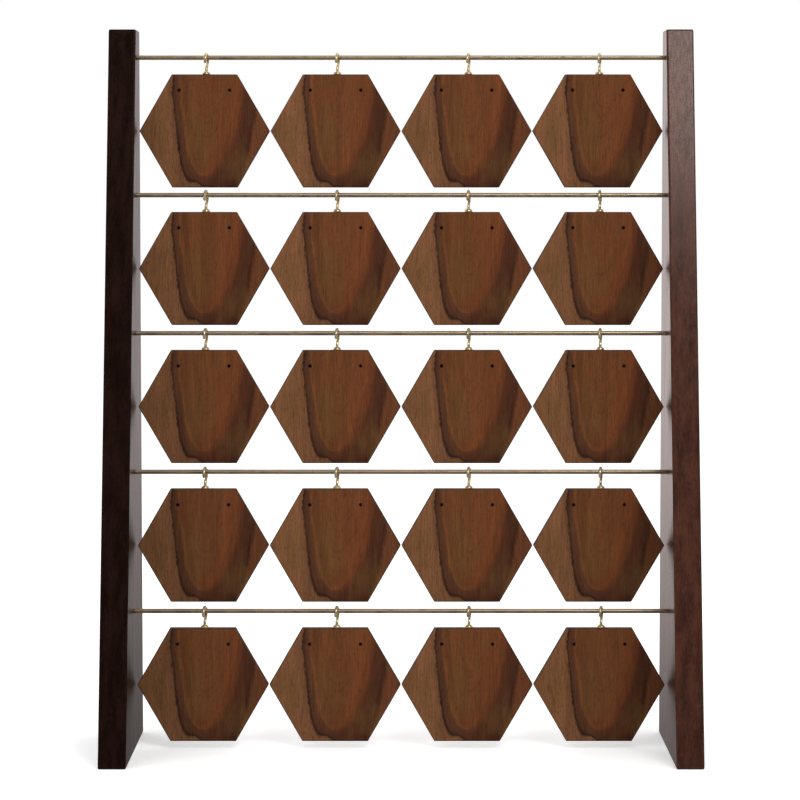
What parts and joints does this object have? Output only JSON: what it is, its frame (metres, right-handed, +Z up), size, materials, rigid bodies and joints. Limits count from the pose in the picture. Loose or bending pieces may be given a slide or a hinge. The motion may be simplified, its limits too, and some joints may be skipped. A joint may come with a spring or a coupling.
{
  "type": "earring display rack",
  "caption": "Free-standing rack: tapered dark wood sides hold metal rods, with hexagonal wooden earring tags hanging from them on small brass hooks.",
  "frame": {"origin": "on the floor, at the middle of the footprint of the two side boards", "axes": "+Z up, +X to the right along the rods, and -Y to the front, the side that the boards slant to"},
  "size_m": [0.323, 0.116, 0.396],
  "materials": {
    "board_wood": "espresso stain under semi-gloss lacquer",
    "tag_wood": "oiled walnut, satin",
    "rod_metal": "polished",
    "hook_brass": "bright"
  },
  "bodies": {
    "frame": {"left_side_board": "board_wood", "right_side_board": "board_wood", "rod_1": "rod_metal", "rod_2": "rod_metal", "rod_3": "rod_metal", "rod_4": "rod_metal", "rod_5": "rod_metal"},
    "hanger_1_1": {"tag_1_1": "tag_wood", "hook_1_1": "hook_brass"},
    "hanger_1_2": {"tag_1_2": "tag_wood", "hook_1_2": "hook_brass"},
    "hanger_1_3": {"tag_1_3": "tag_wood", "hook_1_3": "hook_brass"},
    "hanger_1_4": {"tag_1_4": "tag_wood", "hook_1_4": "hook_brass"},
    "hanger_2_1": {"tag_2_1": "tag_wood", "hook_2_1": "hook_brass"},
    "hanger_2_2": {"tag_2_2": "tag_wood", "hook_2_2": "hook_brass"},
    "hanger_2_3": {"tag_2_3": "tag_wood", "hook_2_3": "hook_brass"},
    "hanger_2_4": {"tag_2_4": "tag_wood", "hook_2_4": "hook_brass"},
    "hanger_3_1": {"tag_3_1": "tag_wood", "hook_3_1": "hook_brass"},
    "hanger_3_2": {"tag_3_2": "tag_wood", "hook_3_2": "hook_brass"},
    "hanger_3_3": {"tag_3_3": "tag_wood", "hook_3_3": "hook_brass"},
    "hanger_3_4": {"tag_3_4": "tag_wood", "hook_3_4": "hook_brass"},
    "hanger_4_1": {"tag_4_1": "tag_wood", "hook_4_1": "hook_brass"},
    "hanger_4_2": {"tag_4_2": "tag_wood", "hook_4_2": "hook_brass"},
    "hanger_4_3": {"tag_4_3": "tag_wood", "hook_4_3": "hook_brass"},
    "hanger_4_4": {"tag_4_4": "tag_wood", "hook_4_4": "hook_brass"},
    "hanger_5_1": {"tag_5_1": "tag_wood", "hook_5_1": "hook_brass"},
    "hanger_5_2": {"tag_5_2": "tag_wood", "hook_5_2": "hook_brass"},
    "hanger_5_3": {"tag_5_3": "tag_wood", "hook_5_3": "hook_brass"},
    "hanger_5_4": {"tag_5_4": "tag_wood", "hook_5_4": "hook_brass"}
  },
  "joints": [
    {"name": "swing_1_1", "type": "hinge", "parent": "frame", "child": "hanger_1_1", "pos_m": [-0.1092, 0.04409, 0.3808], "axis": [1, 0, 0], "range_deg": [-80, 80]},
    {"name": "swing_1_2", "type": "hinge", "parent": "frame", "child": "hanger_1_2", "pos_m": [-0.0364, 0.04409, 0.3808], "axis": [1, 0, 0], "range_deg": [-80, 80]},
    {"name": "swing_1_3", "type": "hinge", "parent": "frame", "child": "hanger_1_3", "pos_m": [0.0364, 0.04409, 0.3808], "axis": [1, 0, 0], "range_deg": [-80, 80]},
    {"name": "swing_1_4", "type": "hinge", "parent": "frame", "child": "hanger_1_4", "pos_m": [0.1092, 0.04409, 0.3808], "axis": [1, 0, 0], "range_deg": [-80, 80]},
    {"name": "swing_2_1", "type": "hinge", "parent": "frame", "child": "hanger_2_1", "pos_m": [-0.1092, 0.03527, 0.3046], "axis": [1, 0, 0], "range_deg": [-80, 80]},
    {"name": "swing_2_2", "type": "hinge", "parent": "frame", "child": "hanger_2_2", "pos_m": [-0.0364, 0.03527, 0.3046], "axis": [1, 0, 0], "range_deg": [-80, 80]},
    {"name": "swing_2_3", "type": "hinge", "parent": "frame", "child": "hanger_2_3", "pos_m": [0.0364, 0.03527, 0.3046], "axis": [1, 0, 0], "range_deg": [-80, 80]},
    {"name": "swing_2_4", "type": "hinge", "parent": "frame", "child": "hanger_2_4", "pos_m": [0.1092, 0.03527, 0.3046], "axis": [1, 0, 0], "range_deg": [-80, 80]},
    {"name": "swing_3_1", "type": "hinge", "parent": "frame", "child": "hanger_3_1", "pos_m": [-0.1092, 0.02644, 0.2284], "axis": [1, 0, 0], "range_deg": [-80, 80]},
    {"name": "swing_3_2", "type": "hinge", "parent": "frame", "child": "hanger_3_2", "pos_m": [-0.0364, 0.02644, 0.2284], "axis": [1, 0, 0], "range_deg": [-80, 80]},
    {"name": "swing_3_3", "type": "hinge", "parent": "frame", "child": "hanger_3_3", "pos_m": [0.0364, 0.02644, 0.2284], "axis": [1, 0, 0], "range_deg": [-80, 80]},
    {"name": "swing_3_4", "type": "hinge", "parent": "frame", "child": "hanger_3_4", "pos_m": [0.1092, 0.02644, 0.2284], "axis": [1, 0, 0], "range_deg": [-80, 80]},
    {"name": "swing_4_1", "type": "hinge", "parent": "frame", "child": "hanger_4_1", "pos_m": [-0.1092, 0.01762, 0.1522], "axis": [1, 0, 0], "range_deg": [-80, 80]},
    {"name": "swing_4_2", "type": "hinge", "parent": "frame", "child": "hanger_4_2", "pos_m": [-0.0364, 0.01762, 0.1522], "axis": [1, 0, 0], "range_deg": [-80, 80]},
    {"name": "swing_4_3", "type": "hinge", "parent": "frame", "child": "hanger_4_3", "pos_m": [0.0364, 0.01762, 0.1522], "axis": [1, 0, 0], "range_deg": [-80, 80]},
    {"name": "swing_4_4", "type": "hinge", "parent": "frame", "child": "hanger_4_4", "pos_m": [0.1092, 0.01762, 0.1522], "axis": [1, 0, 0], "range_deg": [-80, 80]},
    {"name": "swing_5_1", "type": "hinge", "parent": "frame", "child": "hanger_5_1", "pos_m": [-0.1092, 0.0088, 0.076], "axis": [1, 0, 0], "range_deg": [-80, 80]},
    {"name": "swing_5_2", "type": "hinge", "parent": "frame", "child": "hanger_5_2", "pos_m": [-0.0364, 0.0088, 0.076], "axis": [1, 0, 0], "range_deg": [-80, 80]},
    {"name": "swing_5_3", "type": "hinge", "parent": "frame", "child": "hanger_5_3", "pos_m": [0.0364, 0.0088, 0.076], "axis": [1, 0, 0], "range_deg": [-80, 80]},
    {"name": "swing_5_4", "type": "hinge", "parent": "frame", "child": "hanger_5_4", "pos_m": [0.1092, 0.0088, 0.076], "axis": [1, 0, 0], "range_deg": [-80, 80]}
  ]
}
